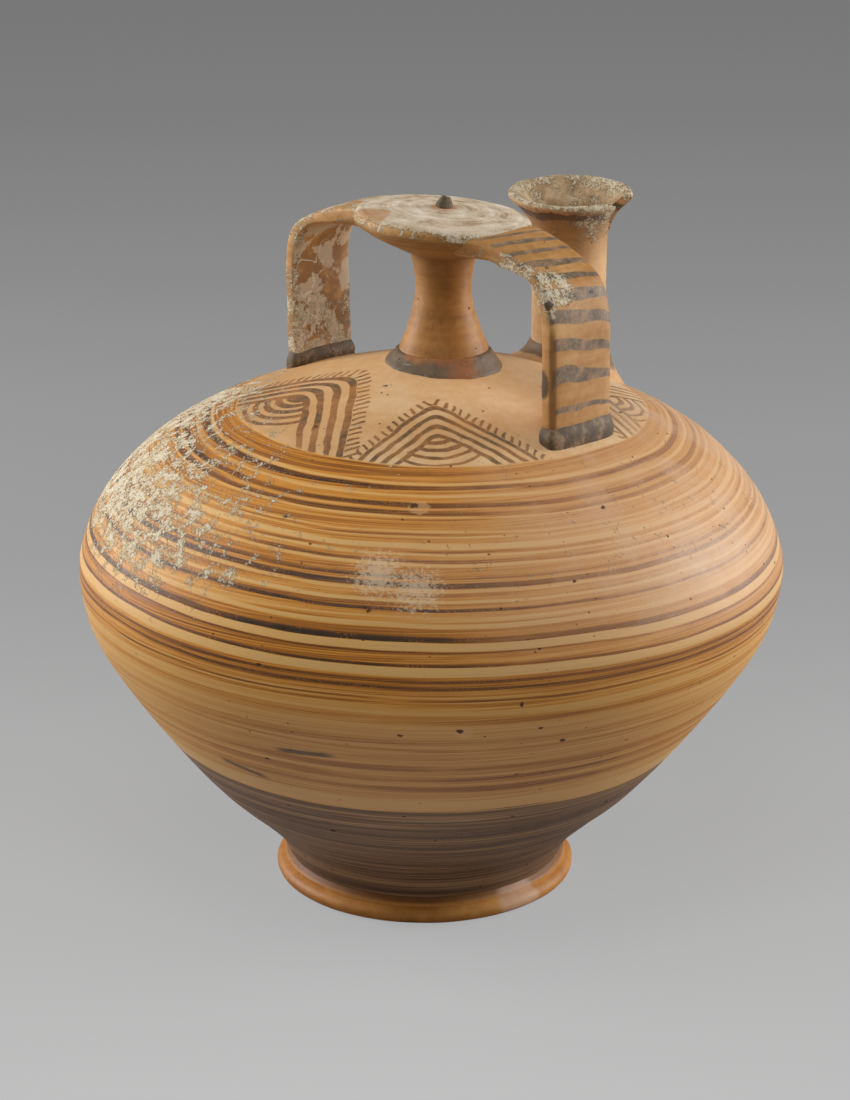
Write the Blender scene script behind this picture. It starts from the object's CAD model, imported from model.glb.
# %% [markdown]
# # A painted stirrup jar
# A stirrup jar is a closed oil jar of fired clay. The potter threw the body as two bowls, joined
# them rim to rim and closed the top. A hollow stem, the false neck, stands in the middle of the
# shoulder and is shut by a disc. Two straps run from the disc down to the shoulder, and the real
# spout stands beside them. Each of those pieces was made by itself and luted on with wet slip.
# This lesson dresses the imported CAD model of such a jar: every piece is modelled again finer than
# the solid it stands for, and gets a painted, worn and crusted surface made only of nodes.

# %% Tools and the fixed frame
import math

import bmesh
import bpy
import numpy as np
from mathutils import Matrix, Vector, noise


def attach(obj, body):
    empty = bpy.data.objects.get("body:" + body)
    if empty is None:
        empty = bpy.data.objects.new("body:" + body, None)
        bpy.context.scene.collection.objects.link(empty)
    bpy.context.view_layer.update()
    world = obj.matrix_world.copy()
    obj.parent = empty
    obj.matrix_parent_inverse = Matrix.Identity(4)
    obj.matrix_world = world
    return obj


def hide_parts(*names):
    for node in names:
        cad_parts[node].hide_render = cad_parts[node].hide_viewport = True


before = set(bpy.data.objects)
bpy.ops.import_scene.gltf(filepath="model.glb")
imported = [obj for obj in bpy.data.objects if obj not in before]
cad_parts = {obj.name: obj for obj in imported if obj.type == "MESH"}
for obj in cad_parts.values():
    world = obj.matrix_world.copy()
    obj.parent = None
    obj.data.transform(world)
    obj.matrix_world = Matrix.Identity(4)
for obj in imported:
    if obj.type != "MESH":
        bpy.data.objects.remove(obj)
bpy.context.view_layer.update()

# %% [markdown]
# The jar is measured in millimetres, and Blender works in metres, so each mesh is made in
# millimetres and shrunk once at the end. The frame's origin is under the middle of the belly.
# +X points to the right strap, -X to the left one and +Y to the spout. The pot left the wheel a
# little out of true: its foot stands back from the belly's middle and its neck stands forward.

# %% Main measures
METRES_PER_MM = 0.001
BELLY_RADIUS = 115.0
BELLY_HEIGHT = 108.5
CROWN_HEIGHT = 181.2
FOOT_TOP = 8.6
SEAT_RADIUS = 45.8
WALL = 5.2
FLOOR = 8.5
DRIFT = Vector((1, 1, 0)).normalized()
foot_centre = -2.1 * DRIFT
neck_centre = 4.0 * DRIFT
spout_centre = neck_centre + Vector((0, 0.515 * BELLY_RADIUS, 0))
print("neck at", neck_centre.to_tuple(1), "spout at", spout_centre.to_tuple(1), "mm")

# %% [markdown]
# A thrown form is a profile turned round an axis. The profile is a smooth curve through a few
# measured points, so a helper draws a Catmull-Rom curve through them, and a second one puts
# points on it at even steps, which keeps the faces of the spun mesh nearly square.


# %% Curves through measured points
def spline(points, steps=12):
    """Points on a smooth curve through the given [distance, height] pairs."""
    knots = [Vector(point) for point in points]
    line = []
    for i in range(len(knots) - 1):
        start, end = knots[i], knots[i + 1]
        leave = (end - knots[max(i - 1, 0)]) / 2
        arrive = (knots[min(i + 2, len(knots) - 1)] - start) / 2
        for n in range(steps):
            t = n / steps
            line.append(
                start * (2 * t**3 - 3 * t**2 + 1)
                + leave * (t**3 - 2 * t**2 + t)
                + end * (3 * t**2 - 2 * t**3)
                + arrive * (t**3 - t**2)
            )
    return line + [knots[-1]]


def read(line, value, given=0):
    """Where the line's given coordinate has this value, its other coordinate."""
    return float(np.interp(value, [p[given] for p in line], [p[1 - given] for p in line]))


def even(line, spacing):
    """The same line with its points at even distances of about `spacing`."""
    line = [Vector(point) for point in line]
    lengths = np.cumsum([0] + [(b - a).length for a, b in zip(line, line[1:])])
    marks = np.linspace(0, lengths[-1], max(round(lengths[-1] / spacing), 1) + 1)
    coordinates = (np.interp(marks, lengths, [p[i] for p in line]) for i in (0, 1))
    return [Vector(pair) for pair in zip(*coordinates)]


def beside(line, distance):
    """The line moved sideways, to the right of its travel."""
    moved = []
    for i, point in enumerate(line):
        travel = (line[min(i + 1, len(line) - 1)] - line[max(i - 1, 0)]).normalized()
        moved.append(point + Vector((travel.y, -travel.x)) * distance)
    return moved


# %% The body's outline
STEPS = 12
lower_points = [
    (SEAT_RADIUS + out * (BELLY_RADIUS - SEAT_RADIUS), FOOT_TOP + up * (BELLY_HEIGHT - FOOT_TOP))
    for out, up in (
        (0, 0), (0.07, 0.087), (0.219, 0.19), (0.395, 0.303),
        (0.613, 0.487), (0.831, 0.697), (0.955, 0.852),
    )
]
upper_points = [
    (out * BELLY_RADIUS, BELLY_HEIGHT + up * (CROWN_HEIGHT - BELLY_HEIGHT))
    for out, up in (
        (1, 0), (0.987, 0.132), (0.937, 0.305), (0.85, 0.47), (0.74, 0.606),
        (0.58, 0.73), (0.4, 0.824), (0.2, 0.911), (0, 1),
    )
]
body_outline = spline(lower_points + upper_points, STEPS)
belly_index = len(lower_points) * STEPS
lower_outline = body_outline[: belly_index + 1]
shoulder_outline = body_outline[belly_index:]
print("outline points:", len(lower_outline), "below the belly,", len(shoulder_outline), "above")


def shoulder_height(place):
    """Height of the shoulder's surface over a place in plan."""
    return read(shoulder_outline[::-1], math.hypot(place[0], place[1]))


# %% [markdown]
# Spinning, settling and finishing are the same for every thrown piece. A potter's hand leaves
# soft rings and small hollows, so helpers move the points in or out by a smooth noise. The
# noise depends only on where a point is, so two bowls that meet stay joined at the seam. The
# noise that shakes points to all sides would start from the clock, so it is given a seed.

# %% Throwing, unevenness and finishing
noise.seed_set(7)


def thrown(profile, steps, ring=False):
    """A mesh turned round the Z axis from [radius, height] points in millimetres."""
    bm = bmesh.new()
    verts = [bm.verts.new((max(radius, 0), 0, height)) for radius, height in profile]
    edges = [bm.edges.new(pair) for pair in zip(verts, verts[1:])]
    if ring:
        edges.append(bm.edges.new((verts[-1], verts[0])))
    bmesh.ops.spin(
        bm, geom=verts + edges, cent=(0, 0, 0), axis=(0, 0, 1), dvec=(0, 0, 0),
        angle=math.tau, steps=steps, use_merge=True, use_duplicate=False,
    )
    bmesh.ops.remove_doubles(bm, verts=bm.verts, dist=0.001)
    bmesh.ops.recalc_face_normals(bm, faces=bm.faces)
    return bm


def lumps(point, wide, high=None, layer=0):
    """Smooth noise about 0 with lumps of this width and height; without a height they are upright."""
    return noise.noise(Vector((point.x / wide, point.y / wide, point.z / high if high else layer)))


def uneven(bm, keep_below=0.0):
    """Presses the surface in, in soft hollows and in the rings that the fingers left."""
    middle = Vector((0, 0, 95))
    for vert in bm.verts:
        hollow = 0.5 + 0.5 * noise.noise(vert.co / 38)
        finger = 0.5 + 0.5 * lumps(vert.co, 90, 4.2)
        fade = min(max((vert.co.z - keep_below) / 12, 0), 1) if keep_below else 1
        vert.co += (middle - vert.co).normalized() * fade * (hollow * 0.35 + finger * 0.22)


def swollen(bm, out, beyond):
    """Moves the points farther out than `beyond` outwards by out(point) millimetres."""
    for vert in bm.verts:
        reach = math.hypot(vert.co.x, vert.co.y)
        if reach > beyond:
            vert.co.xy *= 1 + out(vert.co) / reach


def finished(name, bm, nodes, sharp=38):
    """Turns the mesh into an object in metres that stands for its CAD nodes."""
    bmesh.ops.scale(bm, vec=(METRES_PER_MM,) * 3, verts=bm.verts)
    for face in bm.faces:
        face.smooth = True
    mesh = bpy.data.meshes.new(name)
    bm.to_mesh(mesh)
    bm.free()
    mesh.set_sharp_from_angle(angle=math.radians(sharp))
    piece = bpy.data.objects.new(name, mesh)
    bpy.context.scene.collection.objects.link(piece)
    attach(piece, "root")
    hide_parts(*nodes)
    print(f"{name}: {len(mesh.vertices)} points, {len(mesh.polygons)} faces")
    return piece


# %% [markdown]
# The lower bowl is thrown with its floor. Its profile starts under the floor, runs up the
# outside to the belly, turns over the rim and comes back down the inside, so the mesh is one
# closed skin with a real wall. It leans: every level slides back a little towards the foot.

# %% The lower bowl
BOWL_STEPS = 192
FOOT_BORE = 36.0
HOLLOW_HEIGHT = 4.2
FLOOR_TOP = HOLLOW_HEIGHT + FLOOR
LEAN_HEIGHT = BELLY_HEIGHT - 8.3
inside = [p for p in even(beside(lower_outline, -WALL), 4) if FLOOR_TOP + 3 < p[1] < BELLY_HEIGHT - 3]
floor_edge = read(inside, FLOOR_TOP, given=1) - 6
bm = thrown([
    (0, HOLLOW_HEIGHT), (20, HOLLOW_HEIGHT), (FOOT_BORE - 0.6, HOLLOW_HEIGHT),
    (FOOT_BORE - 0.4, FOOT_TOP),
    *even(lower_outline, 1.4),
    (BELLY_RADIUS - WALL, BELLY_HEIGHT),
    *reversed(inside),
    (floor_edge, FLOOR_TOP + 0.6), (floor_edge - 6, FLOOR_TOP), (0, FLOOR_TOP),
], BOWL_STEPS)
uneven(bm, keep_below=FOOT_TOP + 1)
slide = Matrix.Identity(4)
for axis in (0, 1):
    slide[axis][2] = -foot_centre[axis] / LEAN_HEIGHT
    slide[axis][3] = foot_centre[axis] * BELLY_HEIGHT / LEAN_HEIGHT
bmesh.ops.transform(bm, matrix=slide, verts=bm.verts)
lower_bowl = finished("LowerBowl", bm, ["lower_body"])

# %% [markdown]
# The upper bowl closes the jar. Under the spout and under the false neck it was pierced, and a
# boolean cut makes those two holes, because a spin can't. The modifier is applied at once, so
# what is left is a plain mesh.


# %% Cutting with a boolean
def cut(piece, cutter_bm):
    """Cuts a closed mesh, in millimetres, out of a finished piece."""
    bmesh.ops.scale(cutter_bm, vec=(METRES_PER_MM,) * 3, verts=cutter_bm.verts)
    mesh = bpy.data.meshes.new("cutter")
    cutter_bm.to_mesh(mesh)
    cutter_bm.free()
    cutter = bpy.data.objects.new("cutter", mesh)
    bpy.context.scene.collection.objects.link(cutter)
    knife = piece.modifiers.new("cut", "BOOLEAN")
    knife.operation, knife.solver, knife.object = "DIFFERENCE", "EXACT", cutter
    done = bpy.data.meshes.new_from_object(piece.evaluated_get(bpy.context.evaluated_depsgraph_get()))
    piece.modifiers.remove(knife)
    done.name = piece.name
    old, piece.data = piece.data, done
    bpy.data.meshes.remove(old)
    bpy.data.objects.remove(cutter)
    bpy.data.meshes.remove(mesh)
    print(piece.name, "cut, now", len(done.polygons), "faces")


# %% The upper bowl
NECK_BORE = 5.0
SPOUT_BORE = 8.9
inside = [p for p in even(beside(shoulder_outline, -WALL), 4) if p[0] > 6 and p[1] > BELLY_HEIGHT + 3]
bm = thrown([
    *even(shoulder_outline, 1.4),
    (0, CROWN_HEIGHT - WALL),
    *reversed(inside),
    (BELLY_RADIUS - WALL, BELLY_HEIGHT), (BELLY_RADIUS, BELLY_HEIGHT),
], BOWL_STEPS)
uneven(bm)
upper_bowl = finished("UpperBowl", bm, ["upper_body"])
for centre, radius in ((neck_centre, NECK_BORE), (spout_centre, SPOUT_BORE)):
    drill = thrown([(0, 120), (radius, 120), (radius, 190), (0, 190)], steps=40)
    bmesh.ops.translate(drill, vec=centre, verts=drill.verts)
    cut(upper_bowl, drill)

# %% [markdown]
# The ring foot is a coil that was pressed on and turned round. It is worn: the edge it stands on
# is a little flattened and its outer edge isn't quite a circle.

# %% The foot ring
FOOT_RADIUS = 50.2
foot_round = [
    (FOOT_RADIUS - 4 + 4 * math.cos(math.radians(angle)), 2.9 * (1 + math.sin(math.radians(angle))))
    for angle in range(-90, 71, 16)
]
bm = thrown([
    (FOOT_BORE, 1.2), (FOOT_BORE + 1, 0.2),
    (FOOT_BORE + 2.2, 0), (FOOT_BORE + 4.2, 0), (FOOT_BORE + 6.2, 0),
    *foot_round,
    (47.6, 6.9), (46.6, 7.9), (SEAT_RADIUS - 0.2, 8.6), (FOOT_BORE, 8.6), (FOOT_BORE, 5),
], steps=160, ring=True)


def worn_edge(point):
    """How far the foot is worn or nicked at a point; the face that it stands on stays whole."""
    worn = 0.5 + 0.5 * lumps(point, 14, layer=3)
    nick = max(lumps(point, 4, 4) - 0.35, 0)
    return -(worn * 0.5 + nick * 1.2) if point.z > 0.3 else 0


swollen(bm, worn_edge, beyond=SEAT_RADIUS + 0.5)
bmesh.ops.translate(bm, vec=foot_centre, verts=bm.verts)
foot_ring = finished("FootRing", bm, ["foot_ring"])

# %% [markdown]
# Everything on the shoulder has to sit on its slope. A piece that was luted down spreads into
# the surface, so a helper settles a mesh: heights in it are read as heights above the shoulder,
# fully at the bottom and less and less towards the top, which stays level.


# %% Settling a piece on the shoulder
def settled(bm, centre, height, level=None):
    """Moves a mesh that was made round the origin over its place and drapes its foot."""
    level = shoulder_height(centre) if level is None else level
    for vert in bm.verts:
        place = vert.co.xy + centre.xy
        draped = 1 - min(max(vert.co.z / height, 0), 1)
        ground = shoulder_height(place) * draped + level * (1 - draped)
        vert.co = Vector((*place, vert.co.z + ground))


# %% The false neck
neck_line = spline([
    (15.2, 176), (14.5, 180.6), (11.9, 186.8), (9.85, 193.6),
    (9, 200), (9.3, 205.2), (10.0, 209.6), (10.9, 213.2),
])
neck_bore = [(NECK_BORE, height) for height in (213.5, 200, 185, 174)]
bm = thrown([*even(neck_line, 1.0), *neck_bore, (12, 174)], steps=96, ring=True)
swollen(bm, lambda point: 0.16 * lumps(point, 60, 2.6) + 0.2 * noise.noise(point / 11), NECK_BORE + 1)
bmesh.ops.translate(bm, vec=neck_centre, verts=bm.verts)
false_neck = finished("FalseNeck", bm, ["false_neck"])

# %% The roll of clay round the neck
ROLL_HEIGHT = 5.1
roll_profile = [
    (19.3, -1.2), (18.9, -0.1), (18.4, 0.5), (17.7, 1.1), (16.9, 2.0), (16.2, 3.0),
    (15.6, 4.0), (15.1, 4.8), (14.6, ROLL_HEIGHT), (13.6, ROLL_HEIGHT), (12.8, -1.2),
]
bm = thrown(even(roll_profile, 0.7)[:-1], steps=96, ring=True)
swollen(bm, lambda point: 0.5 * noise.noise(point / 7) + 0.3 * noise.noise(point / 2.5), 14.5)
settled(bm, neck_centre, ROLL_HEIGHT, level=175.6)
neck_roll = finished("NeckRoll", bm, ["neck_collar"])

# %% [markdown]
# The disc was thrown upside down on the stem, so its underside is a shallow cone with the marks
# of the fingers, and its top shows faint rings. It leans down by 4.5 degrees, away from the left
# strap. The small lump in its middle is where the clay was pinched off.

# %% The disc and its knob
DISC_TOP = 224.4
disc_lean = Matrix.Translation((*neck_centre.xy, DISC_TOP)) @ Matrix.Rotation(
    math.radians(4.5), 4, Vector((-1, 1, 0)).normalized()
)
disc_underside = spline([
    (9.8, -13.0), (14, -11.4), (18, -9.6), (22, -7.8), (25.2, -6.2),
    (27.2, -5.1), (28.4, -3.6), (28.5, -2.1), (27.9, -0.8),
])
disc_top = spline([
    (27.9, -0.8), (26.9, -0.1), (25.4, 0.25), (20, 0.85), (14.3, 1.5), (8, 1.9), (3, 2.0), (0, 2.0),
])
bm = thrown([(0, -13.0), *even(disc_underside, 0.75), *even(disc_top, 0.75)[1:]], steps=128)
for vert in bm.verts:
    reach = math.hypot(vert.co.x, vert.co.y)
    if reach > 3:
        finger_ring = noise.noise(Vector((reach / 1.9, vert.co.x / 70, vert.co.y / 70)))
        vert.co.z += 0.17 * finger_ring + 0.22 * noise.noise(vert.co / 9)
swollen(bm, lambda point: -0.5 * (0.5 + 0.5 * lumps(point, 9, layer=7)), beyond=24)
bmesh.ops.transform(bm, matrix=disc_lean, verts=bm.verts)
disc = finished("Disc", bm, ["top_disc"])

bm = thrown([(0, 1.7), (2.7, 1.7), (2.75, 2.5), (2.3, 3.7), (1.7, 4.7), (1.2, 5.4), (0, 5.6)], steps=32)
bmesh.ops.subdivide_edges(bm, edges=bm.edges, cuts=1, use_grid_fill=True)
for vert in bm.verts:
    if vert.co.z > 1.8:
        vert.co += 0.45 * noise.noise_vector(vert.co / 1.9)
bmesh.ops.transform(bm, matrix=disc_lean, verts=bm.verts)
knob = finished("Knob", bm, ["disc_knob"])

# %% [markdown]
# A strap is pulled, not thrown: a flat ribbon of clay with rounded edges, thick where it joins
# the disc and thinner down the leg. It could be a box with a bend in it, but its thickness, its
# width and its edge all change. So it starts as one rounded ring, and the ring is extruded again
# and again, each time moved to the next place along the strap by a matrix.


# %% Pulling a rounded ring along a path
def rounded_ring(bm, points, fullness):
    """A flat ring of half-width 1; the higher the fullness, the squarer it is."""
    made = bmesh.ops.create_circle(bm, cap_ends=False, segments=points, radius=1)
    for vert in made["verts"]:
        angle = math.atan2(vert.co.y, vert.co.x)
        for axis, share in ((0, math.cos(angle)), (1, math.sin(angle))):
            vert.co[axis] = math.copysign(abs(share) ** (2 / fullness), share)
    return list({edge for vert in made["verts"] for edge in vert.link_edges})


def pulled(bm, edges, places):
    """Extrudes the ring from one place to the next; each place is a matrix."""
    verts = {vert for edge in edges for vert in edge.verts}
    bmesh.ops.transform(bm, matrix=places[0], verts=list(verts))
    for here, there in zip(places, places[1:]):
        grown = bmesh.ops.extrude_edge_only(bm, edges=edges)["geom"]
        edges = [item for item in grown if isinstance(item, bmesh.types.BMEdge)]
        verts = [item for item in grown if isinstance(item, bmesh.types.BMVert)]
        bmesh.ops.transform(bm, matrix=there @ here.inverted(), verts=verts)
    bmesh.ops.holes_fill(bm, edges=bm.edges, sides=0)
    bmesh.ops.recalc_face_normals(bm, faces=bm.faces)


# %% The two straps
LEFT = dict(side=-1, width=25.6, thickness=5.8, reach=59.0, inset=1.2)
RIGHT = dict(side=1, width=27.2, thickness=6.6, reach=57.3, inset=-0.5)
ROOT_X, ROOT_Z = 16.0, 213.8
ARM_START = 28.6
ARM_STATIONS = 84
LEG_STATIONS = 32
over_shares = (
    (0, 0), (0.27, 0.045), (0.51, 0.15), (0.78, 0.32), (0.9, 0.44), (0.96, 0.62), (0.99, 0.85), (1, 1),
)
under_shares = (
    (0, 0, 0), (0.3, 0.5, 0), (0.52, 1, 0), (0.73, 0.7, 0), (0.84, 0.1, 0.04),
    (0.91, 0, 0.19), (0.965, 0, 0.39), (0.995, 0, 0.62), (1, 0, 1),
)


def strap(name, nodes, finish, rim_top, corner, arch, side, width, thickness, reach, inset):
    """One strap: `reach` is from the neck to the middle of its leg, which starts at `corner`."""
    outer, inner = reach + thickness / 2, reach - thickness / 2
    over = [
        (ARM_START + out * (outer - ARM_START), rim_top - down * (rim_top - corner))
        for out, down in over_shares
    ]
    under = [
        (ROOT_X + out * (inner - ROOT_X), ROOT_Z + rise * arch - down * (ROOT_Z - corner))
        for out, rise, down in under_shares
    ]
    over_line = even([(20.5, rim_top - 1.6), (25, rim_top - 0.5), *spline(over)], 1)
    under_line = even([(13, ROOT_Z - 0.2), *spline(under)], 1)
    pairs = [
        [line[round(n / ARM_STATIONS * (len(line) - 1))] for line in (over_line, under_line)]
        for n in range(ARM_STATIONS + 1)
    ]
    foot = shoulder_height((neck_centre.x + side * reach, neck_centre.y)) - 3
    for n in range(1, LEG_STATIONS + 1):
        share = n / LEG_STATIONS
        drop = Vector((-inset * share, (foot - corner) * share))
        pairs.append((Vector((outer, corner)) + drop, Vector((inner, corner)) + drop))

    def half_width(out):
        """Towards the disc the strap spreads."""
        return width / 2 + 3.0 * (max(36 - out, 0) / 18) ** 2

    places = []
    for top, bottom in pairs:
        middle, across = (top + bottom) / 2, (top - bottom) / 2
        place = Matrix.Identity(4)
        place.col[0][:3] = Vector((0, half_width(middle[0]), 0))
        place.col[1][:3] = Vector((side * across[0], 0, across[1]))
        place.col[2][:3] = Vector((side * across[1], 0, -across[0])).normalized()
        place.col[3][:3] = Vector((neck_centre.x + side * middle[0], neck_centre.y, middle[1]))
        places.append(place)
    bm = bmesh.new()
    pulled(bm, rounded_ring(bm, points=56, fullness=4.6), places)
    # Towards the disc the strap's edges also thin, until they are as thick as the disc's rim
    root = [pair for pair in pairs if pair[0][0] < 40]
    for vert in bm.verts:
        out = side * (vert.co.x - neck_centre.x)
        ceiling = read([top for top, _ in root], out)
        depth = ceiling - read([bottom for _, bottom in root], out)
        below = ceiling - vert.co.z
        if out < 38 and below > 0 and vert.co.z > 205:
            to_edge = min(abs(vert.co.y - neck_centre.y) / half_width(out), 1) ** 2.5
            thinning = max(1 - (3.3 + max(out - 17, 0) * 0.18) / depth, 0)
            vert.co.z = ceiling - below * (1 - thinning * to_edge)
    for vert in bm.verts:
        vert.co += 0.28 * noise.noise_vector(vert.co / 13) + 0.1 * noise.noise_vector(vert.co / 3.5)
    return finished(name, bm, nodes)


left_strap = strap(
    "StrapLeft", ["handle_left"], "lime_crust", rim_top=224.3, corner=197.9, arch=2.5, **LEFT,
)
right_strap = strap(
    "StrapRight", ["handle_right"], "buff_clay", rim_top=222.8, corner=192.0, arch=0.8, **RIGHT,
)

# %% [markdown]
# Where a strap meets the shoulder the potter pressed a low ring of clay round it. It stands
# steep against the strap and rolls over to the shoulder. The same rounded ring is pulled outwards
# over a small profile and settled on the slope.


# %% The feet of the straps
foot_section = (
    (-1.4, -1.0), (-1.4, 5.0), (-0.3, 5.3), (0.2, 4.8), (0.7, 3.8),
    (1.1, 2.8), (1.3, 1.8), (1.3, 0.9), (1.2, 0.2), (1.1, -0.6),
)


def strap_foot(name, nodes, side, width, thickness, reach, inset):
    """The ring round a strap; each point of its section is how far out it is and how high."""
    places = [
        Matrix.Translation((0, 0, height))
        @ Matrix.Diagonal((thickness / 2 + out, width / 2 + out, 1.0, 1.0))
        for out, height in even(foot_section, 0.7)
    ]
    bm = bmesh.new()
    pulled(bm, rounded_ring(bm, points=80, fullness=3.6), places)
    for vert in bm.verts:
        vert.co.xy += 0.35 * noise.noise_vector(vert.co / 6 + Vector((side, 0, 0))).xy
    settled(bm, Vector((neck_centre.x + side * (reach - inset), neck_centre.y, 0)), height=6.5)
    return finished(name, bm, nodes)


left_foot = strap_foot("StrapFootLeft", ["handle_foot_left"], **LEFT)
right_foot = strap_foot("StrapFootRight", ["handle_foot_right"], **RIGHT)

# %% [markdown]
# The spout is a thrown tube that opens like a trumpet. A piece of its lip broke off long ago and
# left a V with a rough section. The wedge that makes it is a rough block: its points are shaken
# before it cuts, so the break isn't a flat plane.

# %% The spout
SPOUT_TOP = 223.0
FLARE_START = SPOUT_TOP - 17
spout_outside = spline([
    (12.7, 150), (12.4, 165), (12.4, FLARE_START), (13.2, FLARE_START + 4.2), (14.5, FLARE_START + 8.5),
    (16.8, FLARE_START + 11.8), (19.4, FLARE_START + 14.2), (20.5, SPOUT_TOP - 1.4),
])
spout_lip = spline([
    (20.5, SPOUT_TOP - 1.4), (20.4, SPOUT_TOP - 0.5), (19.7, SPOUT_TOP),
    (18.4, SPOUT_TOP - 0.2), (17.2, SPOUT_TOP - 0.9),
])
spout_inside = spline([
    (17.2, SPOUT_TOP - 0.9), (12.6, FLARE_START + 11.2), (10.1, FLARE_START + 6),
    (SPOUT_BORE, FLARE_START), (SPOUT_BORE, 150),
])
bm = thrown(
    [*even(spout_outside, 1.1), *even(spout_lip, 0.5)[1:], *even(spout_inside, 1.3)[1:]],
    steps=112, ring=True,
)
swollen(bm, lambda point: 0.14 * lumps(point, 60, 2.4) + 0.35 * lumps(point, 16, layer=5), beyond=0)
for vert in bm.verts:
    raised = min(max((vert.co.z - 200) / 14, 0), 1)
    vert.co.z -= 0.06 * raised * (vert.co.x - vert.co.y) * math.sqrt(0.5)
    vert.co.z -= raised * 0.55 * (0.5 + 0.5 * lumps(vert.co, 8, layer=1))
bmesh.ops.translate(bm, vec=spout_centre, verts=bm.verts)
spout = finished("Spout", bm, ["spout"], sharp=50)

# %% The broken lip
chip = bmesh.new()
chip_outline = ((0.6, -14.5), (1.0, -6), (1.2, 5), (-15, 5), (-13.4, -0.6), (-8.4, -4.4), (-3.2, -10))
face = chip.faces.new([chip.verts.new((6, y, z)) for y, z in chip_outline])
pushed = bmesh.ops.extrude_face_region(chip, geom=[face])["geom"]
far_points = [item for item in pushed if isinstance(item, bmesh.types.BMVert)]
bmesh.ops.translate(chip, vec=(24, 0, 0), verts=far_points)
bmesh.ops.subdivide_edges(chip, edges=chip.edges, cuts=9, use_grid_fill=True)
bmesh.ops.triangulate(chip, faces=chip.faces)
bmesh.ops.recalc_face_normals(chip, faces=chip.faces)
for vert in chip.verts:
    vert.co += 0.7 * noise.noise_vector(vert.co / 4) + 0.3 * noise.noise_vector(vert.co / 1.4)
turn = Matrix.Rotation(math.radians(29), 3, "Z")
bmesh.ops.rotate(chip, cent=(0, 0, 0), matrix=turn, verts=chip.verts)
bmesh.ops.translate(chip, vec=(*spout_centre.xy, SPOUT_TOP), verts=chip.verts)
cut(spout, chip)
spout.data.set_sharp_from_angle(angle=math.radians(50))

# %% The fillet at the spout's foot
FILLET_HEIGHT = 9.6
fillet_profile = [
    (20.4, -1.2), (18.8, 0.3), (17.0, 1.6), (15.4, 3.2), (14.2, 5.2), (13.4, 7.4), (12.7, 9.2),
    (12.0, FILLET_HEIGHT), (11.0, FILLET_HEIGHT), (11.0, -1.2),
]
bm = thrown(even(fillet_profile, 0.9)[:-1], steps=96, ring=True)
swollen(bm, lambda point: 0.5 * noise.noise(point / 8), beyond=12.2)
settled(bm, spout_centre, FILLET_HEIGHT)
spout_fillet = finished("SpoutFillet", bm, ["spout_collar"])

# %% [markdown]
# Now the surface. Each finish is painted with nodes that read the Object coordinates, so a pattern
# stays where it is on the jar from every side. Coordinates are turned into millimetres first,
# which makes every size in a material a real size. To keep the node code short, an output is
# wrapped in a small class, so that a sum of outputs can be written like any other sum: each sign
# in it adds one Math node.


# %% Helper: sums of outputs
def feed(socket, value):
    """Links a value to a socket, or sets the socket's own number, colour or place."""
    if isinstance(value, Value):
        value.tree.links.new(value.socket, socket)
    elif value is not None:
        socket.default_value = value


def node(tree, kind, *feeds, **settings):
    """Adds a shader node with its first inputs fed in order."""
    made = tree.nodes.new("ShaderNode" + kind)
    for name, value in settings.items():
        setattr(made, name, value)
    for socket, value in zip(made.inputs, feeds):
        feed(socket, value)
    return made


def tree_of(values):
    return next(value.tree for value in values if isinstance(value, Value))


def calc(operation, *values):
    return Value(node(tree_of(values), "Math", *values, operation=operation).outputs[0])


def calc_place(operation, *values, output=0):
    return Value(node(tree_of(values), "VectorMath", *values, operation=operation).outputs[output])


class Value:
    """An output of a node that can stand in a sum."""

    def __init__(self, socket):
        self.socket, self.tree = socket, socket.id_data

    def __add__(self, other):
        return calc("ADD", self, other)

    def __radd__(self, other):
        return calc("ADD", other, self)

    def __sub__(self, other):
        return calc("SUBTRACT", self, other)

    def __rsub__(self, other):
        return calc("SUBTRACT", other, self)

    def __mul__(self, other):
        return calc("MULTIPLY", self, other)

    def __truediv__(self, other):
        return calc("DIVIDE", self, other)

    def __lt__(self, other):
        return calc("LESS_THAN", self, other)

    def __abs__(self):
        return calc("ABSOLUTE", self)


def larger(one, other):
    return calc("MAXIMUM", one, other)


def smaller(one, other):
    return calc("MINIMUM", one, other)


def distance(across, along):
    """The length of a step across and along."""
    return calc("SQRT", calc("POWER", across, 2.0) + calc("POWER", along, 2.0))


# %% Helpers: steps, places and noise
DIAGONAL = math.sqrt(0.5)  # times x + y, it gives a distance to the right as the camera sees the jar


def step(value, low, high):
    """0 below low and 1 above high, smooth between; reversed when low is the larger."""
    made = node(value.tree, "MapRange", value, low, high, interpolation_type="SMOOTHSTEP")
    return Value(made.outputs[0])


def mapped(value, low, high, start=0.0, end=1.0):
    """Runs from start to end while the value runs from low to high."""
    return Value(node(value.tree, "MapRange", value, low, high, start, end).outputs[0])


def spread(value, amount):
    """Noise that keeps near a half, spread out to run from -amount / 2 to amount / 2."""
    return mapped(value, 0.32, 0.68, -amount / 2, amount / 2)


def split(place):
    return [Value(socket) for socket in node(place.tree, "SeparateXYZ", place).outputs]


def facing(place):
    """Which way the surface faces: how far to +X, to +Y and up."""
    return split(Value(node(place.tree, "NewGeometry").outputs["Normal"]))


def near(place, centre, radius, shape=(1, 1, 1)):
    """1 at a point of the jar, falling to 0 at a distance from it in millimetres."""
    away = calc_place("MULTIPLY", calc_place("SUBTRACT", place, centre), shape)
    return mapped(calc_place("LENGTH", away, output="Value"), radius, 0.0)


def from_axis(place, centre):
    """Distance in plan from an upright axis."""
    in_plan = calc_place("MULTIPLY", place, (1, 1, 0))
    return calc_place("DISTANCE", in_plan, tuple(centre), output="Value")


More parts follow.
